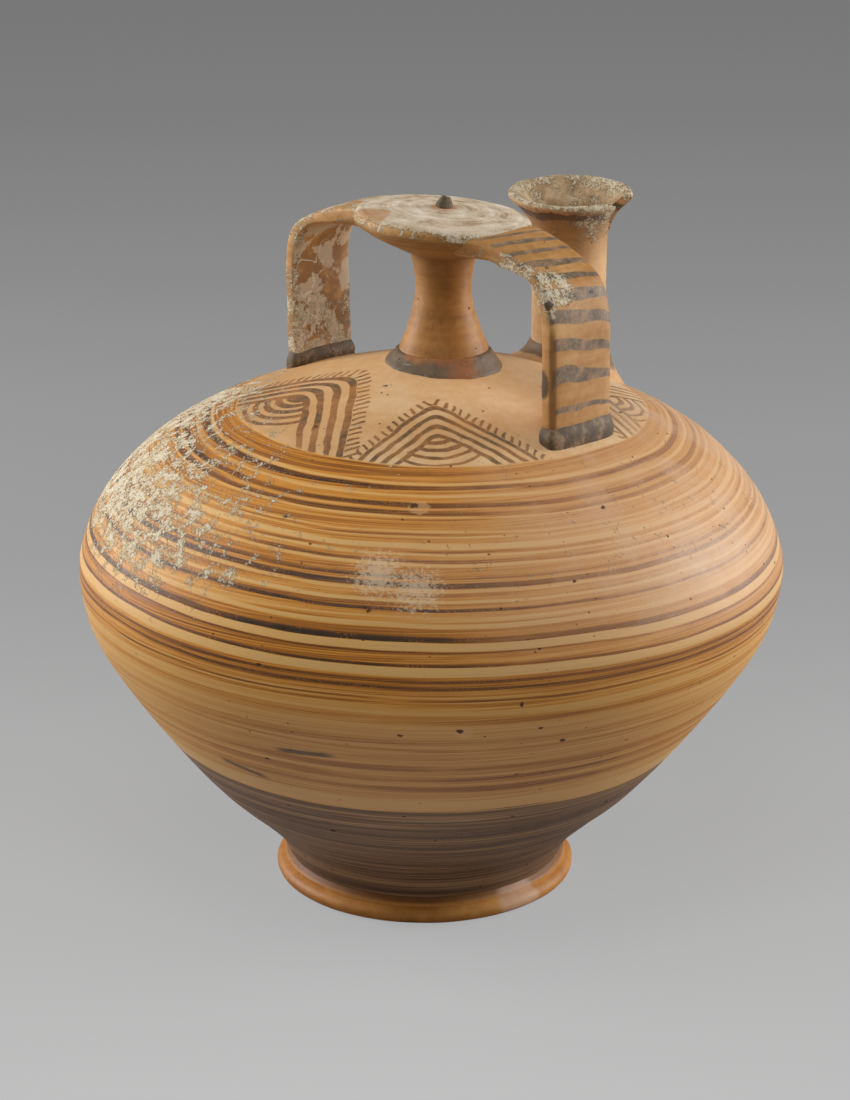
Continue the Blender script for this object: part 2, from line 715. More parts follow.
def cloud(place, size, detail=2.0, rough=0.5, stretch=(1, 1, 1), seed=0.0, distortion=0.0):
    """Noise from 0 to 1 whose blobs are about `size` millimetres, longer where stretched."""
    scale = tuple(1 / (size * share) for share in stretch)
    moved = calc_place("MULTIPLY_ADD", place, scale, (seed, seed * 1.7, seed * 2.3))
    made = node(place.tree, "TexNoise", moved)
    shape = {"Scale": 1, "Detail": detail, "Roughness": rough, "Distortion": distortion}
    for name, value in shape.items():
        made.inputs[name].default_value = value
    return Value(made.outputs[0])


def shaken(place, size, amount):
    """The place moved about by smooth noise, so that a pattern wavers as a hand does."""
    made = node(place.tree, "TexNoise", calc_place("MULTIPLY", place, (1 / size,) * 3))
    made.inputs["Scale"].default_value = 1
    centred = calc_place("SUBTRACT", Value(made.outputs[1]), (0.5, 0.5, 0.5))
    return calc_place("MULTIPLY_ADD", centred, (amount,) * 3, place)


# %% Helpers: colours
def srgb(red, green, blue):
    """A colour as a picture shows it, 0 to 255, as the linear colour Blender wants."""
    shares = (red / 255, green / 255, blue / 255)
    return (*(s / 12.92 if s <= 0.04045 else ((s + 0.055) / 1.055) ** 2.4 for s in shares), 1)


def tint(share, under, above):
    """One colour laid over another; each is a value, or red, green and blue from 0 to 255."""
    made = node(tree_of((share, under, above)), "Mix", data_type="RGBA")
    feed(made.inputs[0], share)
    for index, colour in ((6, under), (7, above)):
        feed(made.inputs[index], srgb(*colour) if isinstance(colour, tuple) else colour)
    return Value(made.outputs[2])


def ramp(value, *stops):
    """A colour ramp; a stop is its place and then a grey from 0 to 1, or red, green and blue."""
    made = node(value.tree, "ValToRGB", value)
    elements = made.color_ramp.elements
    while len(elements) < len(stops):
        elements.new(0.5)
    for element, (place, *tone) in zip(elements, sorted(stops, key=lambda stop: stop[0])):
        element.position = place
        element.color = srgb(*tone) if len(tone) == 3 else (*tone * 3, 1)
    return Value(made.outputs[0])


def grey_ramp(value, *stops):
    return Value(node(value.tree, "RGBToBW", ramp(value, *stops)).outputs[0])


# %% Helpers: groups
def new_group(name, inputs, outputs):
    """An empty shader group, what it is given by name, and what its output node takes."""
    group = bpy.data.node_groups.new(name, "ShaderNodeTree")
    for label, value in {"Place": None, **inputs}.items():
        kind = "NodeSocketVector" if value is None else "NodeSocketFloat"
        socket = group.interface.new_socket(name=label, in_out="INPUT", socket_type=kind)
        if value is not None:
            socket.default_value = value
    for label in outputs:
        group.interface.new_socket(name=label, in_out="OUTPUT", socket_type="NodeSocketFloat")
    print("group", name, "takes the place and", list(inputs))
    sockets = group.nodes.new("NodeGroupInput").outputs
    given = {socket.name: Value(socket) for socket in sockets if socket.name}
    return group, given, group.nodes.new("NodeGroupOutput").inputs


def use(group, place, **values):
    """Puts a group in a material; spaces in socket names are written as underscores."""
    made = node(place.tree, "Group", place, node_tree=group)
    for label, value in values.items():
        feed(made.inputs[label.replace("_", " ")], value)
    return {socket.name: Value(socket) for socket in made.outputs}


# %% [markdown]
# Fired clay is never one colour. It has broad clouds from the kiln, fine grain, and small dark
# holes where grit or bits of plant burnt out. The holes lie flat, drawn out along the wheel.
# All pieces share this, so it is a group.

# %% Group: fired clay
clay_group, given, result = new_group(
    "FiredClay", {"Pits": 0.5, "Grain": 1.0}, ("Cloud", "Pit", "Height"),
)
place = given["Place"]
broad_cloud = cloud(place, 34, detail=3)
small_cloud = cloud(place, 3.2, detail=3, rough=0.6, seed=3)
grain = cloud(place, 0.7, detail=2, rough=0.7, seed=5)
ragged = shaken(shaken(place, 0.7, 0.9), 2.2, 1.2)
pits = []
for size, share, radius, seed in ((4.6, 0.5, 0.36, 0), (12.0, 0.6, 0.72, 4)):
    stretched = calc_place("MULTIPLY_ADD", ragged, (1 / size, 1 / size, 1.8 / size), (seed, seed, seed))
    cells = node(clay_group, "TexVoronoi", stretched)
    cells.inputs["Scale"].default_value = 1
    chance, width, _ = split(Value(cells.outputs["Color"]))
    few = chance < given["Pits"] * share
    reach = (width + 0.45) * (radius / size)
    pits.append(step(Value(cells.outputs["Distance"]) / reach, 1.1, 0.5) * few)
pit = larger(*pits)
feed(result["Cloud"], broad_cloud * 0.6 + small_cloud * 0.4)
feed(result["Pit"], pit)
feed(result["Height"], grain * given["Grain"] * 0.05 - pit * 0.9)

# %% [markdown]
# The jar was painted while it turned, with a loaded brush held still. Such a band has fine lines
# from the bristles. Noise that is stretched round the jar and squeezed along its height gives
# them, and the clay under the paint has the same marks from the wheel, only weaker.

# %% Group: marks of the wheel and the brush
wheel_group, given, result = new_group("WheelMarks", {}, ("Hair", "Fine", "Broad", "Drift"))
place = given["Place"]
feed(result["Hair"], cloud(place, 0.24, detail=1, rough=0.6, stretch=(260, 260, 1), seed=19))
feed(result["Fine"], cloud(place, 0.6, detail=3, rough=0.7, stretch=(200, 200, 1)))
feed(result["Broad"], cloud(place, 3.0, detail=2, rough=0.55, stretch=(60, 60, 1), seed=2))
feed(result["Drift"], cloud(place, 70, detail=2, stretch=(1, 1, 0.5), seed=7))

# %% [markdown]
# Pale lime from the ground has grown on parts of the jar. It sits as patches with ragged edges
# and holes, and breaks up into dots at the rim of each patch. The group takes how much of it
# there is at a place, from 0 to 1, and gives the mask, the height and the tone of the crust.

# %% Group: lime crust
crust_group, given, result = new_group(
    "LimeCrust", {"Amount": 0.5, "Patch": 7.0}, ("Mask", "Height", "Tone"),
)
scaled = calc_place("SCALE", given["Place"], None, None, calc("DIVIDE", 7.0, given["Patch"]))
patches = cloud(scaled, 7.5, detail=4, rough=0.6, distortion=0.4)
net = 0.62 - abs(cloud(scaled, 3.2, detail=3, rough=0.6, seed=8, distortion=0.8) - 0.5) * 2.4
dots = cloud(given["Place"], 0.75, detail=3, rough=0.7, seed=6)
margin = patches * 0.46 + (net * 0.2 + dots * 0.36) + given["Amount"] * 0.42 - 0.735
mask = step(margin, -0.016, 0.03)
feed(result["Mask"], mask)
feed(result["Height"], mask * (0.2 + dots * 0.7))
feed(result["Tone"], dots * 1.1 + margin * 2.0 - 0.15)

# %% [markdown]
# On the shoulder stand four painted triangles of the kind that Aegean potters used for a long
# time: four nested chevron lines with arcs inside and a fringe of short dashes outside. In a
# chevron's own frame, with u running out from its point and v across, the distance to a leg is
# u sin(h) - v cos(h). The lines are places where that distance is a whole number of spacings,
# and a small rounding bends the lines over at the point.

# %% Group: a fringed chevron
chevron_group, given, result = new_group("FringedChevron", {
    "Point X": 24.0, "Point Y": -24.0, "Bearing": -0.66, "Half Angle": 0.785, "Rounding": 1.6,
    "Spacing": 3.6, "Leg Change": 0.0, "Line Width": 1.6, "Arc U": 14.1, "Arc V": 0.0,
    "First Arc": 7.0, "Arc Step": 3.6, "Arcs": 3.0, "Fringe": 2.6, "Fringe Step": 2.6,
}, ["Paint"])
LAST_LINE = 3.0
SOFT_EDGE = 0.22
x, y, _ = split(given["Place"])
dx, dy = x - given["Point X"], y - given["Point Y"]
cos_b, sin_b = (calc(turn, given["Bearing"]) for turn in ("COSINE", "SINE"))
cos_h, sin_h = (calc(turn, given["Half Angle"]) for turn in ("COSINE", "SINE"))
u = dx * cos_b + dy * sin_b
v = dy * cos_b - dx * sin_b
across = v * cos_h
depth = u * sin_h - calc("SQRT", across * across + given["Rounding"] * given["Rounding"])
spacing = given["Spacing"] + given["Leg Change"] * (step(v, -9.0, 9.0) - 0.5)
half_line = given["Line Width"] * 0.5


def numbered(value, last):
    """The nearest whole number from 0 to the last."""
    return smaller(larger(calc("ROUND", value), 0.0), last)


off_leg = abs(depth - numbered(depth / spacing, LAST_LINE) * spacing)
legs = step(off_leg, half_line + SOFT_EDGE, half_line - SOFT_EDGE)
from_middle = distance(abs(u - given["Arc U"]), abs(v - given["Arc V"]))
arc_number = numbered((from_middle - given["First Arc"]) / given["Arc Step"], given["Arcs"])
off_arc = abs(from_middle - (given["First Arc"] + arc_number * given["Arc Step"]))
half_arc = half_line * 1.15 - arc_number * 0.12
past_last_line = step(depth - spacing * LAST_LINE, 0.2, 0.9)
arcs = step(off_arc, half_arc + SOFT_EDGE, half_arc - SOFT_EDGE) * past_last_line
along = u * cos_h + abs(v) * sin_h
jitter = (cloud(given["Place"], 4.0, detail=1, seed=9) - 0.5) * 1.6
phase = calc("FRACT", (along + depth * -0.35 + jitter) / given["Fringe Step"])
dash = step(abs(phase - 0.5) * given["Fringe Step"], 0.75, 0.35)
fringe_end = (given["Fringe"] + (half_line + jitter)) * -1.0
fringe_start = half_line * -1.0
beyond_legs = step(depth, fringe_start, fringe_start - 0.4)
fringe = dash * (step(depth, fringe_end, fringe_end + 0.5) * beyond_legs)
ahead = step(u, -6.0, -5.0)
feed(result["Paint"], larger(larger(legs, arcs), fringe) * ahead)

# %% [markdown]
# Every finish starts in the same way, and goes on by laying one colour over what is there, as a
# potter lays slip over clay and the ground lays lime over slip. So a small class holds a finish
# while it is made: the places on the jar in millimetres, the clay, and the colour so far.

# %% Helper: a finish while it is made
CLAY_STOPS = (0.36, 0.5, 0.64)
LIME_TONES = ((0.15, 156, 126, 82), (0.42, 190, 170, 136))
PALE_LIME = (0.72, 218, 208, 186)


class Finish:
    """A material under way, with the place on the jar, the clay and the colour so far."""

    def __init__(self, name, *clay_tones, pits=0.5, grain=1.4):
        self.material = bpy.data.materials.new(name)
        self.material.use_nodes = True
        self.tree = self.material.node_tree
        in_metres = Value(node(self.tree, "TexCoord").outputs["Object"])
        self.place = calc_place("SCALE", in_metres, None, None, 1 / METRES_PER_MM)
        self.x, self.y, self.z = split(self.place)
        self.hair, self.fine, self.broad, self.drift = use(wheel_group, self.place).values()
        self.cloud, self.pit, self.height = use(clay_group, self.place, Pits=pits, Grain=grain).values()
        if clay_tones:
            tone = self.cloud * 0.7 + self.broad * 0.3
            self.colour = ramp(tone, *((stop, *clay) for stop, clay in zip(CLAY_STOPS, clay_tones)))
            self.lay(self.pit * 0.8, (70, 44, 28))

    def lay(self, share, colour):
        """Lays a colour over what is there."""
        self.colour = tint(share, self.colour, colour)

    def crust(self, amount, patch=5.0, strength=0.93, tones=LIME_TONES, pale=PALE_LIME):
        """Lays lime over what is there; gives the mask and the height of the crust."""
        lime = use(crust_group, self.place, Amount=amount, Patch=patch)
        self.lay(lime["Mask"] * strength, ramp(lime["Tone"], *tones, pale))
        return lime["Mask"], lime["Height"]

    def give(self, roughness, relief, *pieces):
        """Feeds the shader, with the relief in millimetres, and gives the finish to the pieces."""
        shader = self.tree.nodes["Principled BSDF"]
        bump = node(self.tree, "Bump")
        bump.inputs["Strength"].default_value = 1.0
        bump.inputs["Distance"].default_value = METRES_PER_MM
        feed(bump.inputs["Height"], relief)
        feed(shader.inputs["Base Color"], self.colour)
        feed(shader.inputs["Roughness"], roughness)
        feed(shader.inputs["Normal"], Value(bump.outputs[0]))
        shader.inputs["Specular IOR Level"].default_value = 0.32
        for piece in pieces:
            piece.data.materials.clear()
            piece.data.materials.append(self.material)
        print(self.material.name, "on", [piece.name for piece in pieces])


# %% [markdown]
# The body's paint is laid as bands over its height. A band is where the brush stood still, and
# what matters is how much paint it left: 0 is bare clay, about 0.4 a thin orange wash, 0.7 a
# brown line and 1 nearly black. A ramp holds 32 stops at most, so the bands are five zones: the
# belly first, then the one below it and the three above, each with the heights between which it
# takes over. Bands tilt a little because the jar wasn't quite level on the wheel, and they waver
# by half a millimetre.

# %% Finish: the bands on the body
BAND_TILT = 0.021
zones = (
    (102, 118, None, (
        (102.0, 0.12), (103.0, 0.42), (103.5, 0.38), (103.9, 0.14), (104.5, 0.56), (105.0, 0.5),
        (105.4, 0.2), (106.2, 0.45), (106.8, 0.3), (107.6, 0.42), (108.2, 0.72), (108.7, 0.74),
        (109.0, 0.4), (109.9, 0.42), (110.3, 0.66), (110.9, 0.62), (111.3, 0.38), (111.9, 0.34),
        (112.2, 0.04), (114.7, 0.03), (115.0, 0.88), (115.5, 0.74), (115.9, 0.42), (118.0, 0.42),
    )),
    (52, 102.5, (102.3, 102.0), (
        (52, 0.85), (55.2, 0.85), (56.2, 0.8), (57.0, 0.02), (62.5, 0.0), (63.5, 0.2), (66.5, 0.14),
        (68.0, 0.4), (69.4, 0.34), (70.6, 0.1), (72.6, 0.38), (73.8, 0.4), (75.0, 0.1), (77.0, 0.35),
        (78.6, 0.38), (80.0, 0.12), (83.5, 0.2), (85.4, 0.12), (86.4, 0.36), (87.4, 0.06), (88.6, 0.3),
        (90.0, 0.28), (91.5, 0.08), (93.6, 0.14), (95.5, 0.08), (97.0, 0.3), (98.6, 0.28), (99.8, 0.08),
        (102.5, 0.2),
    )),
    (117.8, 134.5, (117.85, 117.95), (
        (117.8, 0.42), (118.6, 0.44), (118.9, 0.72), (119.2, 0.6), (119.5, 0.05), (121.6, 0.03),
        (121.9, 0.95), (123.1, 0.9), (123.6, 0.46), (124.8, 0.38), (125.2, 0.52), (125.5, 0.44),
        (125.8, 0.08), (126.8, 0.05), (127.2, 0.28), (128.4, 0.18), (129.2, 0.38), (129.9, 0.36),
        (130.2, 0.92), (130.7, 0.84), (131.0, 0.38), (132.0, 0.42), (132.3, 0.04), (132.8, 0.04),
        (133.1, 0.44), (134.5, 0.42),
    )),
    (134, 148.3, (134.15, 134.25), (
        (134.0, 0.4), (134.7, 0.46), (135.0, 0.08), (135.6, 0.16), (135.9, 0.86), (136.9, 0.9),
        (137.2, 0.3), (137.8, 0.36), (138.1, 0.72), (138.7, 0.6), (139.1, 0.42), (140.6, 0.4),
        (141.0, 0.05), (141.4, 0.06), (141.7, 0.68), (142.2, 0.6), (142.5, 0.36), (143.0, 0.36),
        (143.3, 0.04), (143.6, 0.06), (143.9, 0.5), (144.4, 0.45), (144.8, 0.03), (145.8, 0.05),
        (146.1, 0.36), (147.0, 0.3), (147.3, 0.05), (147.7, 0.42), (148.3, 0.36),
    )),
    (148, 162, (148.05, 148.15), (
        (148.0, 0.36), (148.4, 0.05), (148.9, 0.42), (150.4, 0.34), (151.2, 0.44), (151.6, 0.04),
        (152.0, 0.7), (152.6, 0.66), (153.0, 0.3), (153.4, 0.3), (153.7, 0.85), (154.3, 0.8),
        (154.6, 0.4), (155.4, 0.46), (155.8, 0.05), (156.3, 0.4), (156.8, 0.46), (157.1, 0.9),
        (157.7, 0.85), (158.0, 0.1), (158.3, 0.06), (158.6, 0.5), (159.6, 0.4), (160.0, 0.56),
        (160.8, 0.4), (161.2, 0.5), (161.5, 0.0),
    )),
)
body = Finish("painted_body", pits=1.0, grain=1.6)
z = body.z
rightward = (body.x + body.y) * DIAGONAL
level = z + rightward * BAND_TILT + (spread(body.drift, 0.9) + spread(body.hair, 0.14))
paint = None
for bottom, top, join, strokes in zones:
    stops = (((height - bottom) / (top - bottom), left_over) for height, left_over in strokes)
    zone = ramp(mapped(level, bottom, top), *stops)
    paint = tint(step(level, *join), paint, zone) if join else zone
paint = Value(node(body.tree, "RGBToBW", paint).outputs[0])
print(len(zones), "zones of bands on", body.material.name)

# %% [markdown]
# Bands that were brushed on a turning pot aren't even. The bristles leave streaks, the paint was
# thicker on one side, and it has worn thin on the other, where it now looks pinkish. So the
# paint that the ramps give is changed before it becomes a colour, and the colour comes from two
# ramps, a warm one and a faded one.

# %% Finish: how much paint is left on the body
bristles = spread(body.fine, 0.27) + spread(body.broad, 0.08) + spread(body.hair, 0.18)
amount = paint + (step(paint, 0.05, 0.2) + 0.22) * bristles
faded = step(rightward + body.cloud * 60.0, 8.0, 80.0) * step(z, 94.0, 130.0)
amount = amount * (1.08 - faded * 0.44) * (1.0 - step(rightward, 10.0, -95.0) * 0.08)
low_front = (1.0 - step(abs(rightward), 40.0, 90.0)) * step(z, 104.0, 88.0)
rubbed = step(cloud(body.place, 5, detail=4, rough=0.6, stretch=(9, 9, 1), seed=11), 0.52, 0.66)
amount = (amount + low_front * 0.1) * (1.0 - rubbed * 0.22)
speckle = step(cloud(body.place, 0.5, detail=2, rough=0.6, seed=12), 0.5, 0.6)
speckle = speckle * step(cloud(body.place, 12, detail=2, seed=20), 0.36, 0.56)
amount = amount - speckle * (step(amount, 0.6, 0.9) * 0.36)
warm_colour = ramp(
    amount, (0.0, 220, 176, 110), (0.14, 214, 160, 82), (0.34, 204, 134, 38), (0.52, 160, 96, 22),
    (0.72, 104, 62, 22), (1.0, 52, 40, 26),
)
faded_colour = ramp(
    amount, (0.0, 216, 172, 122), (0.14, 208, 156, 102), (0.34, 190, 136, 84), (0.52, 164, 112, 68),
    (0.72, 124, 84, 56), (1.0, 84, 64, 48),
)
body.colour = tint((larger(faded, low_front * 0.75) + 0.1) * 0.85, warm_colour, faded_colour)

# %% [markdown]
# Below the last band the lower part was covered with a thick brown wash that ends in an uneven
# edge, and the strokes of the brush run round it. Above the bands the shoulder was left bare for
# the four triangles, each with its own place, bearing and spread, because they were drawn freehand.

# %% Finish: the dark foot zone and the bare shoulder
edge = level + (spread(body.drift, 1.2) + spread(body.fine, 1.6))
strokes = body.fine * 0.5 + body.hair * 0.5 + spread(body.broad, 0.12)
strokes = strokes + step(z, 48.0, 58.0) * 0.05
body.lay(step(edge, 57.4, 56.2), ramp(
    strokes, (0.36, 66, 50, 40), (0.46, 102, 76, 56), (0.54, 132, 98, 70), (0.64, 178, 136, 92),
))
bare = step(level, 161.3, 161.8)
shoulder_clay = ramp(
    body.cloud * 0.75 + body.broad * 0.25,
    (0.38, 206, 160, 106), (0.5, 216, 174, 124), (0.62, 224, 190, 146),
)
body.lay(bare, tint(step(rightward, 10.0, -50.0) * 0.5, shoulder_clay, (190, 140, 84)))

# %% Finish: the four chevrons
chevrons = (
    dict(Point_X=24.1, Point_Y=-23.9, Bearing=-38, Half_Angle=45, Rounding=1.6, Spacing=3.6,
         Arc_U=14.1, Arc_V=-0.4, Line_Width=1.65, First_Arc=7.0, Arc_Step=3.63, Arcs=3.0,
         Fringe=3.6, Fringe_Step=2.9),
    dict(Point_X=-10.0, Point_Y=-21.1, Bearing=-103, Half_Angle=52, Rounding=4.3, Spacing=4.2,
         Leg_Change=0.8, Arc_U=19.3, Arc_V=-3.9, Line_Width=2.2, First_Arc=4.4, Arc_Step=3.6, Arcs=4.0,
         Fringe=4.6, Fringe_Step=2.8),
    dict(Point_X=25.3, Point_Y=26.5, Bearing=34, Half_Angle=43, Rounding=2.2, Spacing=3.7,
         Arc_U=18.5, Arc_V=-1.4, Line_Width=1.5, First_Arc=6.4, Arc_Step=3.4, Arcs=3.0,
         Fringe=2.4, Fringe_Step=2.7),
    dict(Point_X=-22.0, Point_Y=27.0, Bearing=138, Half_Angle=47, Rounding=2.8, Spacing=3.9,
         Arc_U=16.5, Arc_V=1.0, Line_Width=1.7, First_Arc=6.0, Arc_Step=3.6, Arcs=3.0,
         Fringe=2.9, Fringe_Step=2.8),
)
wobbly = shaken(shaken(body.place, 16, 2.6), 4, 0.7)
drawn = None
for form in chevrons:
    in_radians = {name: math.radians(form[name]) for name in ("Bearing", "Half_Angle")}
    one = use(chevron_group, wobbly, **{**form, **in_radians})["Paint"]
    drawn = one if drawn is None else larger(drawn, one)
ink = ramp(
    cloud(body.place, 11, detail=4, rough=0.65, seed=13) + speckle * 0.12,
    (0.38, 86, 68, 48), (0.48, 120, 80, 44), (0.62, 158, 106, 58),
)
body.lay(drawn * bare * (0.62 + cloud(body.place, 2.2, detail=3, rough=0.65, seed=14) * 0.55), ink)
print(len(chevrons), "chevrons drawn")

# %% [markdown]
# Last come the marks of time: a pale rubbed patch on the front, a thin pale film on the right,
# chips, pits, two slips of a dark brush low on the left, and lime on the left side. A mark that
# is in one place is a soft ball round that place.

# %% Finish: worn patch, film and chips on the body
scratched = cloud(body.place, 0.9, detail=4, rough=0.85, seed=15, stretch=(1.5, 1.5, 0.8))
worn_middles = ((60, -82, 139), (69, -75, 134))
worn_place = larger(*(near(body.place, centre, 12, (1, 1, 1.1)) for centre in worn_middles))
worn_patch = step(scratched + worn_place * 0.3, 0.6, 0.72) * step(worn_place, 0.02, 0.3)
body.lay(worn_patch * 0.62, (224, 200, 166))
dusty = step(cloud(body.place, 0.9, detail=3, rough=0.75, seed=16), 0.5, 0.62)
veil = step(rightward, 0.0, 65.0) * step(z, 108.0, 134.0)
film = 0.3 + step(cloud(body.place, 20, detail=3, rough=0.6, seed=17), 0.4, 0.6) * 0.7
body.lay(film * veil * (0.6 + dusty * 0.4) * 0.6, (206, 176, 148))
FLAKED_FROM = 1.2
chips = (
    ((54.5, -61.6, 154.2), 1.5), ((24.7, -86.3, 149.5), 1.0), ((97.2, -59.7, 101.9), 0.9),
    ((84.9, -72.9, 93.7), 1.4), ((99.0, -43.5, 86.4), 1.2), ((71.9, -84.7, 91.9), 1.0),
    ((97.7, -37.5, 135.0), 0.8),
)
ragged = shaken(shaken(body.place, 0.5, 0.9), 1.6, 1.6)
for where, radius in chips:
    if radius > FLAKED_FROM:
        aside = tuple(at + way * 0.7 * radius for at, way in zip(where, (1, 1, -1)))
        flaked = step(near(ragged, aside, radius * 2.6, (1, 1, 1.3)), 0.1, 0.25)
        body.lay(flaked * 0.5, (214, 166, 110))
    body.lay(step(near(ragged, where, radius * 2.6, (1, 1, 1.4)), 0.62, 0.72), (84, 50, 26))
print(len(chips), "chips")

# %% Finish: slips of the brush, pits and lime on the body
slips = (((33.8, -99.7, 80.9), (51.0, -93.1, 81.6)), ((5, -96, 68.5), (20.4, -92.0, 65.6)))
slip_marks = []
for start, end in slips:
    start, end = Vector(start), Vector(end)
    run = (end - start).xy.normalized()
    moved = calc_place("SUBTRACT", body.place, tuple((start + end) / 2))
    along_run = calc_place("DOT_PRODUCT", moved, (run.x, run.y, 0), output="Value")
    falls = (end.z - start.z) / (end - start).xy.length
    reach = (end - start).length * 0.62
    taper = step(abs(along_run), reach, reach * 0.55)
    thin_line = step(abs(split(moved)[2] - along_run * falls) + body.fine * 0.8, 1.6, 1.0)
    slip_marks.append(taper * thin_line * step(body.x - body.y, 40.0, 60.0))
body.lay(larger(*slip_marks) * 0.8, (78, 68, 56))
body.lay(body.pit * 0.82, (74, 44, 27))
leftward = mapped(rightward, -30.0, -100.0, 0.28, 0.69) + near(body.place, (-62, -38, 161), 26) * 0.22
lime_amount = leftward - (step(z, 138.0, 112.0) * 0.4 + step(z, 166.0, 176.0) * 0.2)
mask, crust = body.crust(
    lime_amount, patch=4.5,
    tones=((0.2, 160, 132, 92), (0.42, 200, 182, 146)), pale=(0.7, 226, 216, 194),
)
roughness = 0.42 + cloud(body.place, 5, detail=3, seed=18) * 0.2 - smaller(amount, 1.0) * 0.06
roughness = larger(roughness, larger(mask, body.pit) * 0.9)
relief = body.height + body.fine * 0.05 + body.broad * 0.12 + crust * 0.55
body.give(roughness, relief, lower_bowl, upper_bowl)

# %% [markdown]
# The other pieces share the clay and the crust but each has its own paint. The foot is bare orange
# clay with a brown wash that ran into the groove above it. The neck is smooth buff clay, darker
# where hands held it, and the roll at its base was painted dark at both sides.

# %% Finish: the foot
foot = Finish("orange_foot", (160, 98, 40), (190, 126, 56), (208, 150, 78), pits=0.6)
foot.lay(step(foot.z + foot.drift * 2.0, 7.4, 8.8) * 0.75, (104, 62, 36))
foot.lay(step(foot.z + foot.cloud * 3.0, 3.2, 1.4) * 0.35, (122, 74, 42))
foot.lay(step(near(foot.place, (48, -6, 5), 14) * (foot.cloud + 0.7), 0.4, 0.7) * 0.6, (214, 176, 150))
foot.give(0.42 + foot.cloud * 0.2, foot.height + foot.fine * 0.08, foot_ring)

# %% Finish: the neck
neck = Finish("neck_clay", (140, 92, 40), (170, 118, 56), (192, 140, 76), pits=0.9)
neck.lay(step(neck.z + neck.cloud * 16.0, 206.0, 222.0) * 0.45, (128, 84, 46))
mask, crust = neck.crust(0.1 + near(neck.place, (8, -8, 194), 9) * 0.35, patch=3.0, strength=0.7)
relief = neck.height + neck.fine * 0.14 + crust * 0.5
neck.give(larger(0.42 + neck.cloud * 0.2, mask * 0.85), relief, false_neck)

# %% Finish: the painted roll round the neck
roll = Finish("roll_paint", (186, 132, 80), (204, 158, 108), (214, 174, 128), pits=0.4)
sideways = (roll.x - neck_centre.x + (roll.y - neck_centre.y)) * DIAGONAL
out = from_axis(roll.place, neck_centre)
wavy = (cloud(roll.place, 5, detail=3, seed=21) - 0.5) * 5.0
lower_edge = step(out + wavy * 0.6, 15.2, 17.0) * step(sideways, 6.0, -2.0)
blackness = larger(step(abs(sideways + 1.0) + wavy * 1.2, 9.0, 12.5), lower_edge)
painted = step(out + wavy, 20.6, 19.6) * (0.72 + roll.cloud * 0.4)
roll.lay(painted, tint(blackness, (146, 92, 54), (92, 78, 58)))
worn = near(roll.place, (19, -7, 186), 9) * (cloud(roll.place, 2, detail=4, rough=0.7, seed=22) + 0.4)
roll.lay(step(worn, 0.3, 0.62), (206, 178, 150))
mask, crust = roll.crust(0.34, patch=2.5, strength=0.7)
roll.give(0.45 + roll.cloud * 0.25, roll.height + crust, neck_roll)

# %% [markdown]
# Lime covers the disc's top like a skin, and the rings of the wheel show through it. At the rim
# it has flaked off and the ochre clay shows. Below the rim the clay is streaked brown. The straps
# are alike: crust on the edges and tops, bare clay elsewhere. The right one carries dark bars,
# and the left one shows thick white patches with ringed edges on its inner face.

# %% Finish: the disc
top = Finish("disc_crust", (136, 94, 48), (170, 122, 64), (192, 146, 86), pits=0.8)
out = from_axis(top.place, neck_centre)
up = facing(top.place)[2]
on_top = step(up, 0.45, 0.9)
forward = (top.x - top.y) * DIAGONAL
bare_rim = step(out, 20.5, 25.0) * step(forward, 6.0, 20.0)
amount = on_top * 0.34 + (0.3 + step(up, -0.3, 0.1) * 0.24) - bare_rim * 0.08
amount = amount + near(top.place, (26, -10, 219), 15) * 0.3
mask, crust = top.crust(amount, patch=6.0, strength=0.88, pale=(0.72, 220, 208, 188))
round_axis = Value(node(top.tree, "CombineXYZ", out, top.cloud, 0.0).outputs[0])
rings = cloud(round_axis, 1.3, detail=3, rough=0.6)
ring_tone = ramp(
    rings * 0.4 + cloud(top.place, 7, detail=5, rough=0.6, seed=24) * 0.6,
    (0.4, 150, 112, 70), (0.46, 192, 168, 138), (0.54, 212, 194, 170), (0.62, 230, 219, 200),
)
top.lay(on_top * (0.74 - bare_rim * 0.4), ring_tone)
stain = step(near(top.place, (-6, -21, 222), 13) + top.cloud * 0.8, 0.72, 0.86)
top.lay(stain * on_top * 0.7, (178, 126, 74))
top.lay(step(out + top.cloud * 3.0, 6.8, 5.2) * 0.7, (186, 126, 80))
top.lay(step(up, 0.1, -0.4) * (step(top.fine, 0.42, 0.56) * 0.6), (120, 84, 44))
top.give(0.55 + mask * 0.3, top.height + rings * 0.2 + crust * 0.6, disc)

# %% Finish: the knob
pinched = Finish("knob_paint", (74, 62, 48), (110, 94, 72), (150, 130, 104), pits=0.4)
mask, crust = pinched.crust(0.3, patch=2.0, strength=0.8)
pinched.give(0.75, pinched.height * 3.0 + crust, knob)


# %% Helper: the finish of a strap
class StrapFinish(Finish):
    """A finish that also knows how far out and across the strap a place is, and which way it faces."""

    def __init__(self, name, side):
        super().__init__(name, (154, 104, 50), (180, 130, 72), (198, 152, 96), pits=0.6)
        self.out = (self.x - neck_centre.x) * float(side)
        self.across = self.y - neck_centre.y
        to_right, _, self.up = facing(self.place)
        self.outward = to_right * float(side)

    def give_limed(self, mask, crust, piece):
        """Gives the finish to a strap that is dull and raised where lime lies on it."""
        self.give(larger(0.45 + self.cloud * 0.2, mask * 0.88), self.height + crust * 0.6, piece)


